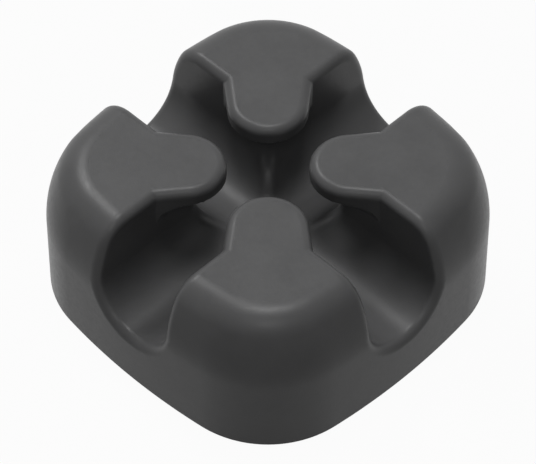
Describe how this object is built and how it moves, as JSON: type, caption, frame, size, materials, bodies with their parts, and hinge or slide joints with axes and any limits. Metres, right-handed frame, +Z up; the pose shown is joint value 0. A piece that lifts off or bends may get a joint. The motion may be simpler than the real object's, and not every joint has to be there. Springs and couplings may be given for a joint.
{
  "type": "desk cable holder",
  "caption": "Square rubber desk cable holder with two crossing open-topped cable channels, overhanging lips and an adhesive pad underneath.",
  "frame": {"origin": "centre of the adhesive pad's underside, where the holder meets the desk", "axes": "+Z up out of the desk, X and Y along the two cable channels"},
  "size_m": [0.04, 0.04, 0.0178],
  "materials": {
    "rubber": "fine matte moulded skin",
    "pad_foam": "closed-cell foam with a tacky acrylic face"
  },
  "bodies": {
    "root": {"holder_body": "rubber", "adhesive_pad": "pad_foam"}
  },
  "joints": []
}
